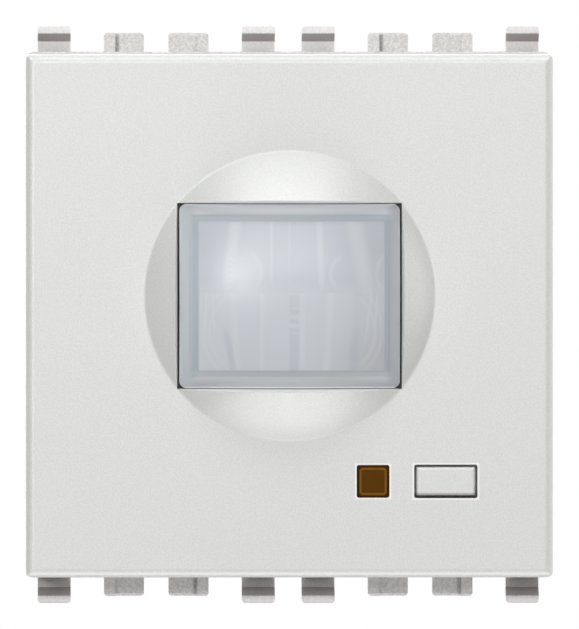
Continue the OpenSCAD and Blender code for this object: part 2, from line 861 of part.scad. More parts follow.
// Section of a lug of one thickness, with a chamfer along its tip.
module lug_section(thick) {
    root = flange_h / 2 - sunk;
    polygon([
        [0, root], [0, lug_tip], [lug_chamfer - thick, lug_tip],
        [-thick, lug_tip - lug_chamfer], [-thick, root]
    ]);
}

// One plain lug above the body, with a proud strip along its right side.
module lug() {
    intersection() {
        union() {
            along_x(lug_w)
                lug_section(lug_t);
            translate([lug_w / 2, 0, 0])
                along_x(strip_w)
                    lug_section(strip_t);
        }
        along_y(-strip_t - cut, cut)
            round_rect(lug_w, 2 * lug_tip, tooth_corner_r);
    }
}

// The hooks and lugs of one module, above the body.
module module_teeth() {
    for (sx = [-1, 1]) {
        translate([sx * hook_offset, 0, 0])
            hook();
        translate([sx * lug_offset, 0, 0])
            mirror([sx < 0 ? 1 : 0, 0, 0])
                lug();
    }
}

// Grey frame: flange, collar for the cover, skirt for the housing, and the teeth that grip the support.
module mounting_frame() {
    color("gainsboro")
        difference() {
            union() {
                eased_block(flange_w, flange_h, -flange_t, 0, cover_corner_r, flange_edge_r);
                along_y(collar_front_y, -flange_t + sunk)
                    round_rect(collar_w, collar_h, cover_in_r);
                along_y(-sunk, skirt_d)
                    round_rect(body_w, body_h, body_corner_r);
                snap_ridges(ridge_r, ridge_l);
                for (sx = [-1, 1], flip = [0, 1])
                    mirror([0, 0, flip])
                        translate([sx * module_pitch / 2, 0, 0])
                            module_teeth();
            }
            along_y(collar_front_y - cut, -flange_t)
                square([collar_w - 2 * collar_wall, collar_h - 2 * collar_wall], center = true);
            along_y(-flange_t - cut, board_y + cut)
                square([board_w - 2 * board_ledge, board_h - 2 * board_ledge], center = true);
            along_y(board_y, skirt_d + cut)
                round_rect(skirt_in_w, skirt_in_h, skirt_in_r);
            for (sx = [-1, 1], sz = [-1, 1])
                translate([sx * body_w / 2, barb_y + barb_d / 2, sz * barb_z])
                    cube([3 * skirt_wall, barb_d + 2 * barb_gap, barb_l + 2 * barb_gap], center = true);
        }
}

// Snap barb on the right side of the housing's lip, sloping towards the front.
module barb() {
    lip_x = lip_w / 2;
    linear_extrude(barb_l, center = true)
        polygon([
            [lip_x - lip_wall / 2, barb_y],
            [lip_x, barb_y],
            [lip_x + lip_gap + barb_h, barb_y + barb_d],
            [lip_x - lip_wall / 2, barb_y + barb_d]
        ]);
}

// Closed box behind the frame, with a lip for the skirt, a notch for the terminals and a plate recess.
module rear_housing() {
    color("lightgray") {
        difference() {
            union() {
                eased_block(body_w, body_h, back_y, skirt_d, body_corner_r, back_edge_r);
                along_y(board_back_y, skirt_d + sunk)
                    round_rect(lip_w, lip_h, lip_r);
            }
            along_y(board_back_y - cut, back_y - back_wall)
                round_rect(housing_in_w, housing_in_h, housing_in_r);
            translate([-notch_half_w, notch_y, -body_h])
                cube([2 * notch_half_w, back_y, body_h + block_top_z + cage_play]);
            along_y(back_y - plate_d, back_y + cut)
                translate([0, plate_z])
                    round_rect(plate_w, plate_h, plate_corner_r);
        }
        for (sx = [-1, 1], sz = [-1, 1])
            along_y(power_back_y, back_y - back_wall + sunk)
                translate([
                    sx * (housing_in_w / 2 - post_w / 2 + sunk / 2),
                    sz * (housing_in_h / 2 - post_h / 2 + sunk / 2)
                ])
                    square([post_w + sunk, post_h + sunk], center = true);
        for (flip = [0, 1], sz = [-1, 1])
            mirror([flip, 0, 0])
                translate([0, 0, sz * barb_z])
                    barb();
    }
}

// Places of the heat sensor's leads.
module at_pir_leads() {
    for (turn = [0, 90, 180])
        translate([pir_lead_circle * cos(turn), dome_z + pir_lead_circle * sin(turn)])
            children();
}

// Places of the pins that link the boards.
module at_header_pins() {
    for (i = [0:header_pins - 1])
        translate([header_x, header_z + (i - (header_pins - 1) / 2) * header_pitch])
            children();
}

// Front circuit board, with holes for the heat sensor's leads and the link's pins.
module sensor_board() {
    color("darkgreen")
        along_y(board_y, board_back_y)
            difference() {
                square([board_w, board_h], center = true);
                at_pir_leads()
                    circle(pir_lead_r + lead_gap);
                at_header_pins()
                    circle(header_pin_r + lead_gap);
            }
}

// Plastic spacer under the heat sensor.
module pir_holder() {
    color("ivory")
        along_y(pir_back_y, board_y)
            difference() {
                translate([0, dome_z])
                    circle(pir_base_r);
                at_pir_leads()
                    circle(pir_lead_r + lead_gap);
            }
}

// Metal base of the heat sensor.
module pir_base() {
    color("gold")
        rod_y(0, dome_z, pir_base_r, can_back_y, pir_back_y);
}

// Metal can of the heat sensor, open at the back, with a square window.
module pir_can() {
    color("lightsteelblue")
        difference() {
            rod_y(0, dome_z, pir_can_r, can_front_y, can_back_y);
            rod_y(0, dome_z, pir_can_r - pir_can_wall, can_front_y + pir_can_wall, can_back_y + cut);
            along_y(can_front_y - cut, can_back_y)
                translate([0, dome_z])
                    square(pir_open, center = true);
        }
}

// Dark filter behind the can's window.
module pir_window() {
    front = can_front_y + pir_can_wall;
    color("black")
        along_y(front, front + pir_filter_t)
            translate([0, dome_z])
                square(pir_open + 2 * pir_can_wall, center = true);
}

// Leads of the heat sensor, through its spacer and the board.
module pir_leads() {
    color("gold")
        along_y(pir_back_y, board_back_y + lead_end)
            at_pir_leads()
                circle(pir_lead_r);
}

// Lamp behind the indicator.
module status_led() {
    color("white")
        translate([indicator_x, 0, row_z]) {
            along_y(board_y - led_t, board_y)
                square([led_w, led_h], center = true);
            rod_y(0, 0, led_lens_r, led_front_y, board_y - led_t + sunk);
        }
}

// Small light cell beside the heat sensor.
module light_sensor() {
    color("black")
        along_y(board_y - light_sensor_t, board_y)
            translate([-light_sensor_x, dome_z])
                square([light_sensor_w, light_sensor_h], center = true);
}

// Body of the switch under the key.
module tact_switch() {
    well = tact_front_y + plunger_in + key_travel + touch_gap;
    color("dimgray")
        difference() {
            along_y(tact_front_y, board_y)
                translate([key_x, row_z])
                    square([tact_w, tact_h], center = true);
            rod_y(key_x, row_z, plunger_r + plunger_gap, tact_front_y - cut, well);
        }
}

// Plunger of the switch under the key.
module tact_plunger() {
    color("black")
        rod_y(key_x, row_z, plunger_r, plunger_front_y, tact_front_y + plunger_in);
}

// Controller on the back of the sensor board.
module controller_chip() {
    color("black")
        along_y(board_back_y + lead_gap, board_back_y + lead_gap + chip_t)
            translate([chip_x, dome_z])
                square([chip_w, chip_l], center = true);
}

// Bent leads on both sides of the controller.
module controller_leads() {
    thick = 0.2;
    broad = 0.45;
    reach = 1;
    mid_y = board_back_y + lead_gap + chip_t / 2;
    color("lightgray")
        for (flip = [0, 1], i = [0:chip_leads - 1])
            translate([chip_x, 0, dome_z + (i - (chip_leads - 1) / 2) * chip_pitch])
                mirror([flip, 0, 0])
                    linear_extrude(broad, center = true)
                        polygon([
                            [chip_w / 2, mid_y + thick / 2],
                            [chip_w / 2 + reach / 2, mid_y + thick / 2],
                            [chip_w / 2 + reach / 2, board_back_y + thick],
                            [chip_w / 2 + reach, board_back_y + thick],
                            [chip_w / 2 + reach, board_back_y],
                            [chip_w / 2 + reach / 2 - thick, board_back_y],
                            [chip_w / 2 + reach / 2 - thick, mid_y - thick / 2],
                            [chip_w / 2, mid_y - thick / 2]
                        ]);
}

// Plastic strip of the link between the boards.
module board_header() {
    color("black")
        along_y(power_y - header_body, power_y)
            difference() {
                translate([header_x, header_z])
                    square([header_body, header_pins * header_pitch], center = true);
                at_header_pins()
                    circle(header_pin_r + plunger_gap);
            }
}

// Pins of the link, through both boards.
module header_contacts() {
    color("gold")
        along_y(board_y - lead_end, power_back_y + lead_end)
            at_header_pins()
                circle(header_pin_r);
}

// Places of the leads of the relay and both capacitors, which sit on the board.
module at_seated_leads() {
    for (sx = [-1, 1]) {
        for (sz = [-1, 1])
            translate([relay_x + sx * relay_w / 3, relay_z + sz * relay_h / 3])
                children();
        translate([film_x + sx * film_w / 3, film_z])
            children();
        translate([can_x + sx * can_r / 2, can_z])
            children();
    }
}

// Places of the leads of the varistor and the fuse resistor, which stand off the board.
module at_raised_leads() {
    for (sx = [-1, 1]) {
        translate([varistor_x + sx * varistor_r / 2, varistor_z])
            children();
        translate([fuse_x + sx * fuse_lead_x, fuse_z])
            children();
    }
}

// Rear circuit board, with holes for leads, pins and the legs of the contact bars.
module power_board() {
    color("darkgreen")
        along_y(power_y, power_back_y)
            difference() {
                square([power_w, power_h], center = true);
                at_header_pins()
                    circle(header_pin_r + lead_gap);
                at_seated_leads()
                    circle(part_lead_r + lead_gap);
                at_raised_leads()
                    circle(part_lead_r + lead_gap);
                for (i = [1:terminals])
                    translate([terminal_x(i), leg_z + bar_t / 2])
                        square([bar_leg_w + 2 * lead_gap, bar_t + 2 * lead_gap], center = true);
            }
}

// Relay that switches the load.
module relay() {
    color("royalblue")
        along_y(power_y - relay_d, power_y)
            translate([relay_x, relay_z])
                round_rect(relay_w, relay_h, opening_r);
}

// Boxed film capacitor.
module film_capacitor() {
    color("goldenrod")
        along_y(power_y - film_d, power_y)
            translate([film_x, film_z])
                round_rect(film_w, film_h, opening_r);
}

// Round electrolytic capacitor, with the bead rolled into its can near the board.
module electrolytic_capacitor() {
    bead = 0.5;
    bead_height = 1.5;
    color("midnightblue")
        translate([can_x, power_y, can_z])
            rotate([90, 0, 0])
                difference() {
                    cylinder(h = can_l, r = can_r);
                    translate([0, 0, bead_height])
                        rotate_extrude()
                            translate([can_r + bead / 2, 0])
                                circle(bead);
                }
}

// Dipped disc of the varistor, on edge above the board.
module varistor() {
    color("steelblue")
        translate([varistor_x, varistor_y, varistor_z])
            cylinder(h = varistor_t, r = varistor_r, center = true);
}

// Round fuse resistor, lying above the board.
module fuse_resistor() {
    color("darkseagreen")
        translate([fuse_x, fuse_y, fuse_z])
            rotate([0, 90, 0])
                cylinder(h = fuse_l, r = fuse_r, center = true);
}

// Leads of the parts on the power board, standing out behind it.
module component_leads() {
    varistor_low_y = varistor_y + sqrt(pow(varistor_r, 2) - pow(varistor_r / 2 - part_lead_r, 2));
    out_y = power_back_y + lead_end;
    color("lightgray") {
        along_y(power_y, out_y)
            at_seated_leads()
                circle(part_lead_r);
        for (sx = [-1, 1]) {
            rod_y(varistor_x + sx * varistor_r / 2, varistor_z, part_lead_r, varistor_low_y, out_y);
            rod_y(fuse_x + sx * fuse_lead_x, fuse_z, part_lead_r, fuse_y, out_y);
            translate([fuse_x + sx * fuse_lead_x, fuse_y, fuse_z])
                sphere(part_lead_r);
            translate([fuse_x + sx * fuse_lead_x, fuse_y, fuse_z])
                rotate([0, -90 * sx, 0])
                    cylinder(h = fuse_lead_x - fuse_l / 2, r = part_lead_r);
        }
    }
}

// Contact bars, bent from the cages to the power board.
module terminal_bars() {
    color("gold")
        for (i = [1:terminals])
            translate([terminal_x(i), 0, 0]) {
                along_y(bar_y, bar_back_y)
                    translate([-bar_w / 2, cage_z])
                        square([bar_w, leg_z + bar_t - cage_z]);
                along_y(power_y - lead_end, bar_back_y)
                    translate([-bar_leg_w / 2, leg_z])
                        square([bar_leg_w, bar_t]);
            }
}

// Moulded body of one terminal, with its pocket, wire entry and screwdriver hole.
module terminal_body(i) {
    color("darkslategray")
        translate([terminal_x(i), 0, 0])
            difference() {
                along_y(power_back_y, block_back_y)
                    translate([-block_w / 2, block_z])
                        square([block_w, block_top_z - block_z]);
                along_y(power_back_y - cut, pocket_back_y)
                    translate([-pocket_w / 2, pocket_z])
                        square([pocket_w, pocket_top_z - pocket_z]);
                translate([0, wire_y, block_z - cut])
                    cylinder(h = entry_wall + 2 * cut, r = wire_r);
                rod_y(0, screw_z, driver_r, pocket_back_y - cut, block_back_y + cut);
            }
}

// Rising cage of one terminal, open along the wire, with the screw's thread at its back.
module terminal_cage(i) {
    color("silver")
        translate([terminal_x(i), 0, screw_z])
            difference() {
                along_y(cage_y, nut_back_y)
                    square([cage_w, cage_h], center = true);
                along_y(cage_y + cage_wall, nut_y)
                    square([cage_in_w, cage_h + 2 * cut], center = true);
                rod_y(0, 0, screw_r + thread_gap, nut_y - cut, nut_back_y + cut);
            }
}

// Captive screw of one terminal, whose tip bears on the contact bar.
module terminal_screw(i) {
    color("silver")
        translate([terminal_x(i), 0, screw_z])
            difference() {
                union() {
                    rod_y(0, 0, screw_r, bar_back_y + touch_gap, head_y + sunk);
                    rod_y(0, 0, head_r, head_y, head_y + head_h);
                }
                along_y(head_y + head_h - slot_d, head_y + head_h + cut)
                    square([slot_w, 2 * head_r + cut], center = true);
            }
}

front_cover();
fresnel_lens();
lens_retainer();
indicator_window();
push_key();
mounting_frame();
rear_housing();
sensor_board();
pir_holder();
pir_base();
pir_can();
pir_window();
pir_leads();
status_led();
light_sensor();
tact_switch();
tact_plunger();
controller_chip();
controller_leads();
board_header();
header_contacts();
power_board();
relay();
film_capacitor();
electrolytic_capacitor();
varistor();
fuse_resistor();
component_leads();
terminal_bars();
for (i = [1:terminals]) {
    terminal_body(i);
    terminal_cage(i);
    terminal_screw(i);
}
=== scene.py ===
import bpy
import math
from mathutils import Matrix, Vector


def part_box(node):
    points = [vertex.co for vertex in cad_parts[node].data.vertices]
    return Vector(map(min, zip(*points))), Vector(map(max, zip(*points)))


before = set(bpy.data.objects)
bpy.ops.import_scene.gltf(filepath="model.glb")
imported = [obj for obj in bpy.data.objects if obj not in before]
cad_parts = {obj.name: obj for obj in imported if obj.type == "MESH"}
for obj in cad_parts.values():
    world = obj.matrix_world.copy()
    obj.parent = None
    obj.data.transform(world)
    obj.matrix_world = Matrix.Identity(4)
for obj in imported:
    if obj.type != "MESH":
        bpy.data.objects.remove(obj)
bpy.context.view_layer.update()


# Terminal bars. Four strips of stamped brass carry the current from the power board into the
# terminals. Each is sheared from rolled strip, bent, and soldered into the board.

mm_per_metre = 1000


class Signal:
    """A number, colour or vector that changes over a surface: one output of a material's nodes."""

    def __init__(self, tree, socket):
        self.tree = tree
        self.socket = socket

    def node(self, kind, settings, inputs, output=0):
        """One output of a new node with these settings and inputs."""
        made = self.tree.nodes.new(kind)
        for key, value in settings.items():
            setattr(made, key, value)
        for key, value in inputs.items():
            if isinstance(value, Signal):
                self.tree.links.new(value.socket, made.inputs[key])
            else:
                made.inputs[key].default_value = value
        return Signal(self.tree, made.outputs[output])

    def math(self, operation, *values):
        return self.node("ShaderNodeMath", {"operation": operation}, dict(enumerate(values)))

    def __add__(self, other):
        return self.math("ADD", self, other)

    __radd__ = __add__

    def __sub__(self, other):
        return self.math("SUBTRACT", self, other)

    def __rsub__(self, other):
        return self.math("SUBTRACT", other, self)

    def __mul__(self, other):
        return self.math("MULTIPLY", self, other)

    __rmul__ = __mul__

    def __abs__(self):
        return self.math("ABSOLUTE", self)

    def __and__(self, other):
        """The smaller of two numbers, which is what two masks share."""
        return self.math("MINIMUM", self, other)

    def __or__(self, other):
        """The larger of two numbers, which joins two masks."""
        return self.math("MAXIMUM", self, other)

    def root(self):
        return self.math("SQRT", self)

    def wave(self):
        """A sine wave from 0 to 1."""
        return self.math("SINE", self) * 0.5 + 0.5

    def axes(self):
        """The three coordinates, each on its own, in millimetres."""
        parts = [self.node("ShaderNodeSeparateXYZ", {}, {"Vector": self}, k) for k in range(3)]
        return [part * mm_per_metre for part in parts]

    def stretched(self, x, y, z):
        return self.node("ShaderNodeMapping", {}, {"Vector": self, "Scale": (x, y, z)})

    def noise(self, size_mm, detail=2.0):
        """Cloudy grain from 0 to 1 with lumps of about this size."""
        inputs = {"Vector": self, "Scale": mm_per_metre / size_mm, "Detail": detail}
        return self.node("ShaderNodeTexNoise", {}, inputs)

    def ramp(self, low, high):
        """0 at low, 1 at high and a smooth rise between."""
        inputs = {"Value": self, "From Min": low, "From Max": high}
        return self.node("ShaderNodeMapRange", {"interpolation_type": "SMOOTHSTEP"}, inputs)

    def band(self, low, high, soft):
        """1 between low and high, with soft edges."""
        return self.ramp(low - soft, low + soft) * (1 - self.ramp(high - soft, high + soft))

    def mix(self, first, second):
        """The first colour where this is 0 and the second where it is 1."""
        return self.node("ShaderNodeMix", {"data_type": "RGBA"}, {0: self, 6: first, 7: second}, 2)


def srgb(red, green, blue):
    """A colour written as screen levels, as linear light."""
    levels = [level / 255 for level in (red, green, blue)]
    linear = [v / 12.92 if v <= 0.04045 else ((v + 0.055) / 1.055) ** 2.4 for v in levels]
    return (*linear, 1.0)


def shade(colour, factor):
    """The same colour, darker or lighter."""
    return (*[channel * factor for channel in colour[:3]], 1.0)


def new_finish(name, **fixed):
    """A new material with its fixed values set, and the piece's own coordinates."""
    material = bpy.data.materials.new(name)
    material.use_nodes = True
    tree = material.node_tree
    for key, value in fixed.items():
        tree.nodes["Principled BSDF"].inputs[key.replace("_", " ")].default_value = value
    return material, Signal(tree, tree.nodes.new("ShaderNodeTexCoord").outputs["Object"])


def lay_on(material, colour, roughness, relief=None, depth_mm=0.0):
    """Links what changes over the surface to the shader."""
    tree = material.node_tree
    shader = tree.nodes["Principled BSDF"]
    tree.links.new(colour.socket, shader.inputs["Base Color"])
    tree.links.new(roughness.socket, shader.inputs["Roughness"])
    if relief:
        inputs = {"Height": relief, "Distance": depth_mm / mm_per_metre}
        bump = relief.node("ShaderNodeBump", {}, inputs, "Normal")
        tree.links.new(bump.socket, shader.inputs["Normal"])


def dress(material, *names):
    """Gives these pieces the material."""
    for name in names:
        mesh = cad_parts[name].data
        mesh.materials.clear()
        mesh.materials.append(material)


def rolled_metal(name, colour, dark, roughness, squeeze):
    """Bare metal with fine rolling streaks from front to back and cloudy tarnish."""
    material, place = new_finish(name, Metallic=1.0)
    streaks = place.stretched(1, squeeze, 1).noise(0.25, 3.0)
    cloud = place.noise(2.5, 3.0).ramp(0.35, 0.75)
    toned = cloud * 0.6 + streaks * 0.4
    lay_on(material, toned.mix(colour, dark), roughness + 0.16 * toned, streaks, depth_mm=0.01)
    return material


brass = rolled_metal(
    "rolled_brass", srgb(200, 160, 82), srgb(150, 108, 48), roughness=0.24, squeeze=0.08
)
dress(brass, "terminal_bars")


# Terminal bodies. Four blocks of dark glass-filled nylon hold a cage, a screw and the end of a bar
# each. They are moulded singly and slide into the back of the housing from below.

terminals = (1, 2, 3, 4)
glass_fleck = srgb(190, 190, 186)


def moulded(name, colour, roughness, grain_mm=0.18, depth_mm=0.006, fleck=0.0):
    """Moulded plastic: an even colour, slightly cloudy, with the fine grain of the tool's surface."""
    material, place = new_finish(name)
    cloud = place.noise(9.0, 3.0)
    grain = place.noise(grain_mm)
    flecks = place.noise(0.09, 1.0).ramp(0.62, 0.78)
    tone = cloud * 0.7 + grain * 0.3
    base = tone.mix(shade(colour, 0.93), shade(colour, 1.06))
    flecked = (flecks * fleck).mix(base, glass_fleck)
    lay_on(material, flecked, roughness + 0.1 * grain, grain, depth_mm)
    return material


nylon = moulded(
    "glass_filled_nylon", srgb(60, 64, 67), roughness=0.44, grain_mm=0.2, depth_mm=0.008, fleck=0.16
)
dress(nylon, *[f"terminal_body_{i}" for i in terminals])


# Rising cages and terminal screws. The cages are folded from steel strip and the captive screws are
# turned. Both are zinc plated, which leaves them slightly blue with a straw-coloured bloom.

screw_spacing = 8.6
screw_height = -15.15
turning_marks = 42


def length(*parts):
    """The length of a line, from its parts along the axes."""
    total = parts[0] * parts[0]
    for part in parts[1:]:
        total = total + part * part
    return total.root()


def zinc(name, turned):
    """Zinc plate, over the rings left by turning or, where turned is 0, over rolling streaks."""
    material, place = new_finish(name, Metallic=1.0)
    x, _, z = place.axes()
    across = x.math("WRAP", x - screw_spacing / 2, screw_spacing / 2, -screw_spacing / 2)
    rings = (length(across, z - screw_height) * turning_marks).wave()
    streaks = place.stretched(0.1, 1, 1).noise(0.2, 3.0)
    marks = rings * turned + streaks * (1 - turned)
    bloom = place.noise(1.6).ramp(0.4, 0.7)
    skin = bloom.mix(srgb(178, 182, 190), srgb(188, 180, 150))
    marked = (marks * 0.25).mix(skin, srgb(120, 122, 126))
    lay_on(material, marked, 0.26 + 0.14 * marks, marks, depth_mm=0.006)
    return material


dress(zinc("zinc_strip", 0.0), *[f"terminal_cage_{i}" for i in terminals])
dress(zinc("zinc_turned", 1.0), *[f"terminal_screw_{i}" for i in terminals])


# Power board. A single-sided board of glass laminate with green solder resist over wide copper
# areas. The sawn edge shows the pale laminate.

resist_skin = 0.05
weave_rate = 9


def in_mm(box):
    """The lowest and the highest corner of a box, in millimetres."""
    return [mm_per_metre * corner for corner in box]


def board_finish(name, low, high, track_mm):
    """Green resist with copper areas of about this size, and bare laminate on the sawn edge."""
    material, place = new_finish(name)
    x, y, z = place.axes()
    flat = place.stretched(1, 0, 1)
    edge = flat.node(
        "ShaderNodeTexVoronoi",
        {"feature": "DISTANCE_TO_EDGE"},
        {"Vector": flat, "Scale": mm_per_metre / track_mm, "Randomness": 0.7},
    )
    copper = edge.ramp(0.05, 0.09)
    weave = (x * weave_rate).wave() * (z * weave_rate).wave()
    resist = copper.mix(srgb(18, 66, 36), srgb(34, 98, 54))
    resist = (weave * 0.12).mix(resist, srgb(60, 120, 70))
    core = y.band(low.y + resist_skin, high.y - resist_skin, 0.01)
    colour = core.mix(resist, srgb(176, 168, 120))
    lay_on(material, colour, 0.3 + 0.1 * weave + 0.25 * core, copper, depth_mm=0.03)
    return material


power_low, power_high = in_mm(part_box("power_board"))
dress(board_finish("power_resist", power_low, power_high, track_mm=5.0), "power_board")


# Relay. The load switch is sealed in a blue moulded case, with the dark line of the potting at its
# foot. It is soldered into the power board.

seal_from, seal_to = -0.7, -0.5


def boxed(name, foot, colour, sealing):
    """A moulded case, filled with resin that shows at its foot."""
    material, place = new_finish(name)
    from_foot = place.axes()[1] - foot
    grain = place.noise(0.3)
    tone = grain.mix(shade(colour, 0.88), shade(colour, 1.1))
    sealed = from_foot.ramp(seal_from, seal_to).mix(tone, sealing)
    lay_on(material, sealed, 0.3 + 0.12 * grain, grain, depth_mm=0.006)
    return material


relay_foot = in_mm(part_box("relay"))[1].y
dress(boxed("relay_case", relay_foot, srgb(32, 79, 148), srgb(46, 52, 64)), "relay")


# Film capacitor. A wound film element potted in a yellow box, open at the foot where the
# resin shows.

film_foot = in_mm(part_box("film_capacitor"))[1].y
film_case = boxed("film_case", film_foot, srgb(186, 138, 32), srgb(120, 92, 40))
dress(film_case, "film_capacitor")


# Electrolytic capacitor. An aluminium can in a shrunk dark sleeve with one pale stripe down its
# side. The can's end stays bare.

stripe_half = 1.3
stripe_from = 1.0
bare_radius = 3.3
can_low, can_high = in_mm(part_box("electrolytic_capacitor"))
can_x = (can_low.x + can_high.x) / 2
can_z = (can_low.z + can_high.z) / 2
sleeve, place = new_finish("shrunk_sleeve", Coat_Weight=0.4)
x, y, z = place.axes()
x = x - can_x
z = z - can_z
stripe = x.band(-stripe_half, stripe_half, 0.05) * z.ramp(stripe_from, stripe_from + 0.2)
at_end = 1 - y.ramp(can_low.y + 0.06, can_low.y + 0.12)
end = at_end * (1 - length(x, z).ramp(bare_radius, bare_radius + 0.15))
crinkle = place.noise(0.8)
film = stripe.mix(crinkle.mix(srgb(24, 30, 62), srgb(34, 40, 76)), srgb(176, 180, 190))
film = end.mix(film, srgb(186, 188, 190))
lay_on(sleeve, film, 0.22 + 0.12 * crinkle, crinkle, depth_mm=0.01)
dress(sleeve, "electrolytic_capacitor")


# Varistor. A pressed ceramic disc dipped in blue epoxy, which leaves a slightly lumpy coat. It
# stands on the power board on its two wires.

dip, place = new_finish("dipped_epoxy", Coat_Weight=0.3)
lumps = place.noise(1.2, 3.0)
coat = lumps.mix(srgb(38, 88, 150), srgb(56, 112, 176))
lay_on(dip, coat, 0.26 + 0.16 * lumps, lumps, depth_mm=0.08)
dress(dip, "varistor")


# Fuse resistor. A ceramic rod with a sprayed green coat and four fired colour bands. It lies along
# the power board on its two wires.

fuse_bands = (
    (-2.5, srgb(206, 130, 30)),
    (-1.2, srgb(70, 40, 24)),
    (0.1, srgb(24, 24, 26)),
    (2.4, srgb(180, 150, 70)),
)
fuse_band_half = 0.32
fuse_low, fuse_high = in_mm(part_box("fuse_resistor"))
rod, place = new_finish("sprayed_rod")
along = place.axes()[0] - (fuse_low.x + fuse_high.x) / 2
spray = place.noise(0.4, 3.0)
coat = spray.mix(srgb(98, 132, 98), srgb(120, 156, 116))
for middle, ink in fuse_bands:
    coat = along.band(middle - fuse_band_half, middle + fuse_band_half, 0.03).mix(coat, ink)
lay_on(rod, coat, 0.5 + 0.14 * spray, spray, depth_mm=0.02)
dress(rod, "fuse_resistor")


# Component leads and chip leads. Copper wire and stamped frame with a tinned skin, dull where the
# solder has wetted it.

tinned = rolled_metal(
    "tinned_copper", srgb(196, 198, 200), srgb(150, 152, 154), roughness=0.3, squeeze=0.1
)
dress(tinned, "component_leads", "controller_leads")


# Rear housing. A five-sided box of pale grey flame-retardant plastic that goes into the wall box.
# Four barbs on its lip catch in the frame's windows. The shallow panel sunk in its back is plain.

housing = moulded(
    "housing_plastic", srgb(201, 203, 200), roughness=0.62, grain_mm=0.22, depth_mm=0.008
)
dress(housing, "rear_housing")


# Sensor board. The thin front board lies in the frame and carries the heat sensor, the lamp, the
# light cell and the switch under the key.

sensor_low, sensor_high = in_mm(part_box("sensor_board"))
dress(board_finish("sensor_resist", sensor_low, sensor_high, track_mm=2.6), "sensor_board")


# Heat sensor. A drawn nickel-plated can on a gold-plated base, with a dark silicon filter in its
# front. An ivory spacer holds it off the board.

nickel = rolled_metal(
    "drawn_nickel", srgb(186, 188, 192), srgb(156, 158, 162), roughness=0.2, squeeze=0.12
)
dress(nickel, "pir_can")
gold = rolled_metal(
    "gold_plate", srgb(206, 164, 82), srgb(176, 132, 58), roughness=0.22, squeeze=0.2
)
dress(gold, "pir_base", "pir_leads")
dress(moulded("ivory_spacer", srgb(230, 224, 204), roughness=0.4), "pir_holder")
silicon, place = new_finish("silicon_filter", Coat_Weight=0.6)
haze = place.noise(0.8)
lay_on(silicon, haze.mix(srgb(24, 26, 32), srgb(38, 38, 50)), 0.1 + 0.08 * haze)
dress(silicon, "pir_window")


# Lamp and light cell. A lamp moulded from milky resin behind the amber window, and a small dark
# light cell behind the lens. Both are soldered flat on the sensor board.

lamp, place = new_finish("lamp_resin", Coat_Weight=0.4)
cloud = place.noise(0.6)
lay_on(lamp, cloud.mix(srgb(226, 226, 216), srgb(242, 242, 236)), 0.2 + 0.1 * cloud)
dress(lamp, "status_led")
black = moulded("black_plastic", srgb(24, 25, 27), roughness=0.5, grain_mm=0.15)
dress(black, "light_sensor")


# Switch under the key, chip and link. The switch body, the chip and the link between the boards are
# black mouldings, the switch's plunger is dark grey and the link's pins are gold plated.

dress(black, "tact_switch", "controller_chip", "board_header")
dress(gold, "header_contacts")
dress(moulded("dark_plunger", srgb(44, 45, 47), roughness=0.4), "tact_plunger")


# Mounting frame. A light grey moulding with snap hooks and plain lugs along its upper and lower
# edges, which hold it in the support. The tool's spark-eroded surface leaves the teeth rough. Painted
# shade darkens the slopes under the hooks' beads and a band beside each lug's raised strip, and the
# hooks' tongues and beads are painted lighter, as painted light. The teeth below are those above, half
# turned.

module_pitch = 22.5
teeth_foot = 22.25
hook_reach = 7.2
bead_front = -2.8
bead_height = 23.96
slope_run = 1.7
slope_height = 0.7
tongue_front = -1.1
lug_front = -1.6
strip_shade_from, strip_shade_to = -3.5, -3.16
frame_plastic, place = new_finish("frame_plastic")
x, y, z = place.axes()
height = abs(z)
along = x.math("WRAP", x, module_pitch, 0.0) - module_pitch / 2
pits = place.noise(0.22).ramp(0.3, 0.7)
cloud = place.noise(9.0, 3.0)
teeth = height.ramp(teeth_foot, teeth_foot + 0.05)
on_hook = abs(along).ramp(hook_reach - 0.1, hook_reach)
below_bead = bead_height - height
off_slope = abs(y - bead_front - below_bead * (slope_run / slope_height))
# Painted shade: the slopes under the hooks' beads are painted darker.
slope_shade = (1 - off_slope.ramp(0.06, 0.14)) * below_bead.band(0.02, slope_height, 0.02) * on_hook
tongue = y.band(tongue_front - 0.04, tongue_front + 0.04, 0.02)
bead = height.ramp(bead_height, bead_height + 0.1)
# Painted shade: a darker band beside each lug's raised strip.
beside_strip = (along * z.math("SIGN", z)).band(strip_shade_from, strip_shade_to, 0.14)
strip_shade = beside_strip * teeth * y.band(lug_front - 0.1, lug_front + 0.1, 0.05)
plain = cloud.mix(srgb(203, 204, 201), srgb(212, 213, 210))
plain = teeth.mix(plain, pits.mix(srgb(203, 202, 200), srgb(228, 227, 225)))
# Painted light: the hooks' tongues and beads are painted lighter.
painted_light = pits.mix(srgb(228, 227, 226), srgb(238, 237, 236))
plain = ((tongue | bead) * on_hook).mix(plain, painted_light)
plain = (strip_shade * (0.25 + 0.6 * pits)).mix(plain, srgb(136, 132, 131))
toned = slope_shade.mix(plain, srgb(172, 167, 167))
relief = pits * (0.3 + 0.7 * teeth)
lay_on(frame_plastic, toned, 0.42 + 0.12 * pits, relief, depth_mm=0.014)
dress(frame_plastic, "mounting_frame")


# Lens retainer. A black moulded frame behind the cover presses the lens to it and keeps stray light
# off the sensor.

dress(black, "lens_retainer")


# Lens. A gently domed cap of milky polyethylene, held by its rim behind the cover. Two rows of
# Fresnel segments on its inside show through as faint bands, inside a soft groove. Behind the
# face it is painted near black, as painted shade in the gap round it. Painted shade also darkens it
# towards the right and the top, and a painted highlight lies along its upper and lower end.

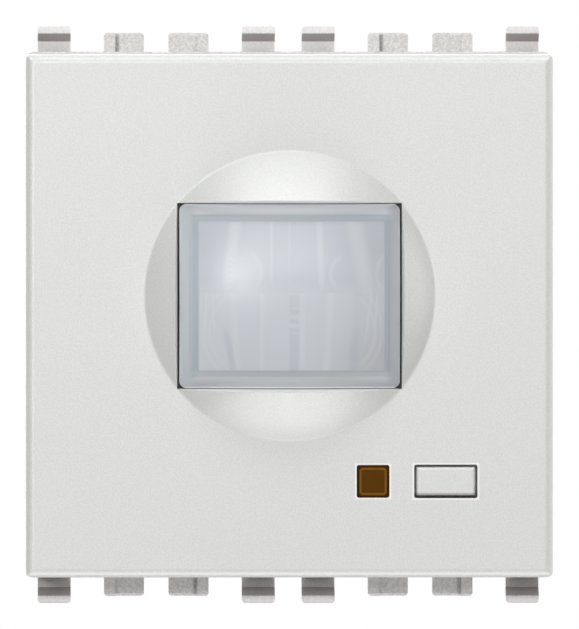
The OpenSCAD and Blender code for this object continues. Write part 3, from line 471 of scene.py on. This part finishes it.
lens_end = 7.66
rim_front = -8.4
field_half = (7.865, 6.307)
field_shift = 0.16
row_line = 0.3
row_glow = 1.2
right_shade_span = (3.6, 8.6)
top_shade_span = (1.8, 4.5)
low_right_shade_span = ((1.5, 7.0), (-5.5, -1.0))
groove_from, groove_to = -0.76, -0.46
low_groove_shift = 0.22
end_from, end_to = 6.2, 6.8
corner_from, corner_to = 7.8, 8.8
ring_width = 0.3
chevron_rate = 13
chevron_slope = 0.6
step_rate = 7.85
step_phase = -0.71
column_from, column_to = -0.2, 0.58

# A light band: where it starts at the line between the rows, where it ends at the field's edge,
# half its width, and its strength.
upper_bands = (
    (-5.5, -4.75, 0.5, 1.0),
    (6.4, 5.25, 0.75, 1.0),
    (2.55, 2.3, 0.3, 0.9),
    (-1.72, -1.72, 0.15, 0.6),
    (-0.2, -0.2, 0.1, 0.4),
)
lower_bands = (
    (-5.05, -4.6, 0.3, 0.7),
    (-2.5, -2.55, 0.2, 1.0),
    (3.3, 2.95, 0.33, 0.9),
    (0.92, 0.92, 0.2, 0.7),
)
fading_bands = (
    (-7.25, -7.45, 0.1, 0.9),
    (-6.7, -6.5, 0.12, 0.9),
    (6.75, 6.0, 0.12, 0.9),
    (7.3, 6.8, 0.1, 0.9),
)

# Part of a Fresnel ring: its middle across and up, its radius, from where to where across it shows,
# and its strength.
upper_rings = (
    (4.9, 1.9, 1.6, 3.0, 4.2, 0.8),
    (-4.6, 2.0, 2.0, -3.4, -2.4, 0.6),
    (9.4, 1.9, 2.2, 6.9, 7.8, 0.7),
)
lower_rings = (
    (-3.4, -3.0, 3.6, -7.4, -5.6, 0.6),
    (-3.4, -3.0, 4.2, -7.6, -6.0, 0.5),
    (3.4, -3.0, 3.7, 5.8, 7.4, 0.6),
    (3.4, -3.0, 4.3, 6.2, 7.7, 0.5),
)

# The field with its two rows, with painted shade darker towards the right, the top and the lower right
lens_low, lens_high = in_mm(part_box("fresnel_lens"))
milky, place = new_finish("milky_polyethylene", Specular_IOR_Level=0.85)
x, y, z = place.axes()
x = x - field_shift
z = z - (lens_low.z + lens_high.z) / 2
inset = (field_half[0] - abs(x)) & (field_half[1] - abs(z))
in_field = inset.ramp(-0.1, 0.06)
upper = z.ramp(row_line - 0.04, row_line + 0.04)
lower = 1 - upper
# Painted shade: the field, border and groove darken towards the right and the lower right.
shaded_right = x.ramp(*right_shade_span)
shaded_low_right = x.ramp(*low_right_shade_span[0]) * (1 - z.ramp(*low_right_shade_span[1]))
tone = upper.mix(srgb(208, 213, 219), srgb(199, 205, 212))
tone = (shaded_right * 0.6).mix(tone, srgb(192, 196, 200))
tone = (z.ramp(*top_shade_span) * 0.3).mix(tone, srgb(184, 190, 197))
tone = (shaded_low_right * 0.55).mix(tone, srgb(181, 185, 188))


def slanted(at_line, at_edge, half_width):
    """A straight band from the line between the rows to the field's upper or lower edge."""
    share = abs(z - row_line) * (1 / field_half[1])
    off = abs(x - at_line - share * (at_edge - at_line))
    return 1 - off.ramp(half_width * 0.2, half_width * 1.5)


def ring(middle_x, middle_z, radius, first, last):
    """Part of one Fresnel ring between two places across the lens."""
    off = abs(length(x - middle_x, z - middle_z) - radius)
    return (1 - off.ramp(0.0, ring_width)) * x.band(first, last, 0.3)


# The light bands and rings of the segments, with fine chevrons in the band at the upper left
light = upper * (1 - z.ramp(row_line, row_line + row_glow)) * 0.7
for row, bands, rings in (
    (upper, upper_bands, upper_rings),
    (lower, lower_bands, lower_rings),
    (lower * z.ramp(-5.0, -2.0), fading_bands, ()),
):
    for *form, strength in bands:
        light = light | slanted(*form) * row * strength
    for *form, strength in rings:
        light = light | ring(*form) * row * strength
chevrons = ((z + abs(x + 5.2) * chevron_slope) * chevron_rate).wave()
chevrons = chevrons * slanted(-5.3, -4.6, 0.4) * upper * z.band(0.5, 3.6, 0.4)
light = light * (1 - 0.5 * chevrons)
tone = (light * in_field * 0.4).mix(tone, srgb(221, 225, 228))

# The dark column of steps below the middle, and a dark band on either side of it
steps = (z * step_rate + step_phase).wave().ramp(0.1, 0.9) * z.band(-3.0, -1.0, 0.1) * 0.7
steps = steps | z.band(-0.9, 0.1, 0.1) * 0.4 | (1 - z.ramp(-3.3, -3.1)) * 0.65
column = x.band(column_from, column_to, 0.14) * steps
low_left = slanted(-6.2, -5.0, 0.3) * (1 - z.ramp(-3.6, -2.2)) * 0.8
low_right = slanted(5.7, 5.15, 0.4) * (1 - 0.7 * z.ramp(-5.0, -1.0)) * 0.7
dark = (column | low_right | low_left) * lower
tone = (dark * in_field * 0.42).mix(tone, srgb(174, 180, 189))

# The plain border round the field, darker to the right as painted shade and lighter at its upper end
# as painted light, and a painted highlight along its upper and lower end
between_corners = 1 - abs(x).ramp(corner_from, corner_to)
low_end = (1 - z.ramp(-end_to, -end_from)) * between_corners
high_end = z.ramp(end_from, end_to) * between_corners
border = shaded_right.mix(srgb(192, 198, 202), srgb(176, 180, 184))
low_border = z.ramp(-7.65, -6.95).mix(srgb(182, 187, 190), srgb(206, 211, 215))
# Painted light: the border's upper end is lighter.
border = low_end.mix(high_end.mix(border, srgb(211, 216, 220)), low_border)
# Painted highlight: a near white line along the lens's upper and lower end.
border = abs(z).ramp(lens_end, lens_end + 0.12).mix(border, srgb(240, 242, 243))
tone = in_field.mix(border, tone)

# The groove between field and border, darker towards the right as painted shade, and the rim behind
# the face painted near black as painted shade
groove = inset.ramp(groove_from + low_groove_shift * low_end, groove_to)
groove = groove * (1 - inset.ramp(-0.12, 0.06))
hollow = (shaded_right * 0.7).mix(srgb(172, 183, 192), srgb(169, 176, 181))
low_hollow = z.ramp(-6.8, -6.35).mix(srgb(190, 195, 200), srgb(205, 210, 215))
hollow = low_end.mix(high_end.mix(hollow, srgb(180, 191, 200)), low_hollow)
tone = (groove * 0.9).mix(tone, hollow)
# Painted shade: the rim behind the face is painted near black.
tone = y.ramp(rim_front, rim_front + 0.2).mix(tone, srgb(20, 21, 22))
haze = place.noise(0.5, 3.0)
lay_on(milky, tone, 0.3 + 0.05 * haze, haze, depth_mm=0.003)
dress(milky, "fresnel_lens")


# Front cover. A moulded cover, sprayed with a fine silver-grey paint. The dome round the lens is
# moulded in one with its face. The window's walls and the edges of the small openings are painted near
# white, as painted highlights.

sphere_y, sphere_z, sphere_radius = 0.921, 1.7, 16.121
face_front = -9.5
row_height = -14.05
openings = ((7.1, 1.39, 1.39), (13.28, 2.69, 1.425))
edge_width = 0.15


def flaked(place):
    """The fine flakes of the paint, and its colour."""
    flakes = place.noise(0.14, 1.0).ramp(0.3, 0.7)
    return flakes, flakes.mix(srgb(216, 218, 215), srgb(224, 226, 223))


silver, place = new_finish("silver_paint", Metallic=0.15)
x, y, z = place.axes()
flakes, paint = flaked(place)
# Painted highlight: the window's walls and the edges of the small openings are painted near white.
inside_dome = sphere_radius - length(x, y - sphere_y, z - sphere_z)
painted_highlight = inside_dome.ramp(0.02, 0.06)
at_face = 1 - y.ramp(face_front + 0.04, face_front + 0.08)
for middle, half_width, half_height in openings:
    off = (abs(x - middle) - half_width) | (abs(z - row_height) - half_height)
    painted_highlight = painted_highlight | off.band(-0.02, edge_width, 0.05) * at_face
sprayed = painted_highlight.mix(paint, srgb(244, 245, 243))
lay_on(silver, sprayed, 0.36 + 0.06 * flakes, flakes, depth_mm=0.002)
dress(silver, "front_cover")


# Indicator window. A light guide of amber plastic with a bevelled square head, pushed in from behind.
# The bevel is painted darker, as painted shade, and its inner edge carries a thin painted highlight.

head_half = 1.34
corner_cut = 0.3
guide_low, guide_high = in_mm(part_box("indicator_window"))
amber, place = new_finish("amber_plastic", Specular_IOR_Level=0.03)
x, _, z = place.axes()
to_side = head_half - abs(x - (guide_low.x + guide_high.x) / 2)
to_end = head_half - abs(z - (guide_low.z + guide_high.z) / 2)
inside = to_side & to_end & (to_side + to_end - corner_cut) * 0.7
depth = place.noise(0.7)
brown = depth.mix(srgb(88, 55, 11), srgb(99, 63, 14))
# Painted shade on the bevel, and a painted highlight along its inner edge.
bevel_shade = 1 - inside.ramp(0.1, 0.28)
bevel_highlight = inside.band(0.2, 0.34, 0.08)
tone = bevel_highlight.mix(bevel_shade.mix(brown, srgb(64, 39, 8)), srgb(142, 95, 32))
lay_on(amber, tone, 0.3 + 0.08 * depth, depth, depth_mm=0.004)
dress(amber, "indicator_window")


# Push key. A small key with bevelled edges, painted with the cover and held behind it by its flange.
# Its lower bevel lies in shade and looks darker.

key_bottom = -15.285
key_paint, place = new_finish("key_paint", Metallic=0.15)
flakes, paint = flaked(place)
low_bevel = 1 - (place.axes()[2] - key_bottom).ramp(0.04, 0.36)
shaded = low_bevel.mix(paint, srgb(146, 142, 141))
lay_on(key_paint, shaded, 0.36 + 0.06 * flakes, flakes, depth_mm=0.002)
dress(key_paint, "push_key")


# Floor. A pale disc well below the object, which thins out to the white of the backdrop. It lets the
# lower lamps through and isn't mirrored in the paint.

floor_drop = -0.4
floor_radius = 0.4
fade_from, fade_to = 120, 380
for thing in bpy.context.selected_objects:
    thing.select_set(False)
bpy.ops.mesh.primitive_circle_add(
    vertices=96, radius=floor_radius, fill_type="NGON", location=(0, 0, floor_drop)
)
floor = bpy.context.object
floor.name = "floor"
bpy.ops.object.transform_apply(location=True)
floor.visible_shadow = False
floor.visible_glossy = False
pale, place = new_finish("pale_floor")
x, y, _ = place.axes()
paper = place.noise(3.0)
lay_on(pale, paper.mix(srgb(238, 238, 238), srgb(244, 244, 244)), 0.8 + 0.1 * paper)
solid = 1 - length(x, y).ramp(fade_from, fade_to)
pale.node_tree.links.new(solid.socket, pale.node_tree.nodes["Principled BSDF"].inputs["Alpha"])
floor.data.materials.append(pale)


# Studio. Wide soft lamps above and below, one at the right, a small one in front that puts the glow
# on the lens, and two large ones behind. The backdrop is white to the camera and where something
# mirrors it, and dim otherwise.

# A lamp: its azimuth and elevation in degrees, its distance, width and height in metres, its power.
lamps = {
    "upper_front_lamp": (-4, 18, 0.42, 0.35, 0.14, 0.55),
    "upper_lamp": (-4, 60, 0.6, 0.6, 0.2, 1.35),
    "overhead_lamp": (-4, 85, 0.6, 0.6, 0.2, 0.6),
    "lower_front_lamp": (4, -56, 0.7, 0.7, 0.25, 1.1),
    "lower_lamp": (4, -72, 0.7, 0.7, 0.25, 0.6),
    "underneath_lamp": (4, -84, 0.7, 0.7, 0.25, 1.1),
    "right_lamp": (92, 5, 1.0, 0.3, 0.6, 1.2),
    "lens_lamp": (-20.5, 7.5, 0.8, 0.05, 0.05, 0.7),
    "rear_left_lamp": (-150, 26, 1.6, 2.0, 2.0, 15.0),
    "rear_right_lamp": (142, 26, 1.6, 2.0, 2.0, 15.0),
}
dim_light = 0.1
dim_tint = (1, 0.86, 0.9, 1)
white = (1, 1, 1, 1)


def aimed(name, data, target, azimuth, elevation, distance):
    """A lamp or camera at this distance from the target, turned towards it."""
    turn = math.radians(azimuth)
    rise = math.radians(elevation)
    away = Vector((math.sin(turn) * math.cos(rise), -math.cos(turn) * math.cos(rise), math.sin(rise)))
    placed = bpy.data.objects.new(name, data)
    bpy.context.scene.collection.objects.link(placed)
    placed.location = target + distance * away
    placed.rotation_euler = away.to_track_quat("Z", "Y").to_euler()
    return placed


for name, (azimuth, elevation, distance, width, height, power) in lamps.items():
    soft = bpy.data.lights.new(name, "AREA")
    soft.shape = "RECTANGLE"
    soft.size = width
    soft.size_y = height
    soft.energy = power
    hung = aimed(name, soft, Vector(), azimuth, elevation, distance)
    hung.visible_camera = False

world = bpy.data.worlds.new("backdrop")
world.use_nodes = True
bpy.context.scene.world = world
backdrop = world.node_tree.nodes["Background"]
path = world.node_tree.nodes.new("ShaderNodeLightPath")
seen = Signal(world.node_tree, path.outputs["Is Camera Ray"])
for kind in ("Is Glossy Ray", "Is Transmission Ray"):
    seen = seen | Signal(world.node_tree, path.outputs[kind])
world.node_tree.links.new(seen.mix(dim_tint, white).socket, backdrop.inputs["Color"])
brightness = dim_light + (1 - dim_light) * seen
world.node_tree.links.new(brightness.socket, backdrop.inputs["Strength"])


# Camera. It stands two metres in front with a long lens, a little to the left and above, which gives
# the photograph's view.

view_azimuth = -0.8
view_elevation = 1.0
view_distance = 2.0
view_target = Vector((0, -0.0095, 0.000128))
camera_data = bpy.data.cameras.new("camera")
camera_data.sensor_fit = "VERTICAL"
camera_data.sensor_height = 36
camera_data.lens = 1348
camera = aimed("camera", camera_data, view_target, view_azimuth, view_elevation, view_distance)
bpy.context.scene.camera = camera
bpy.context.scene.view_settings.view_transform = "Standard"
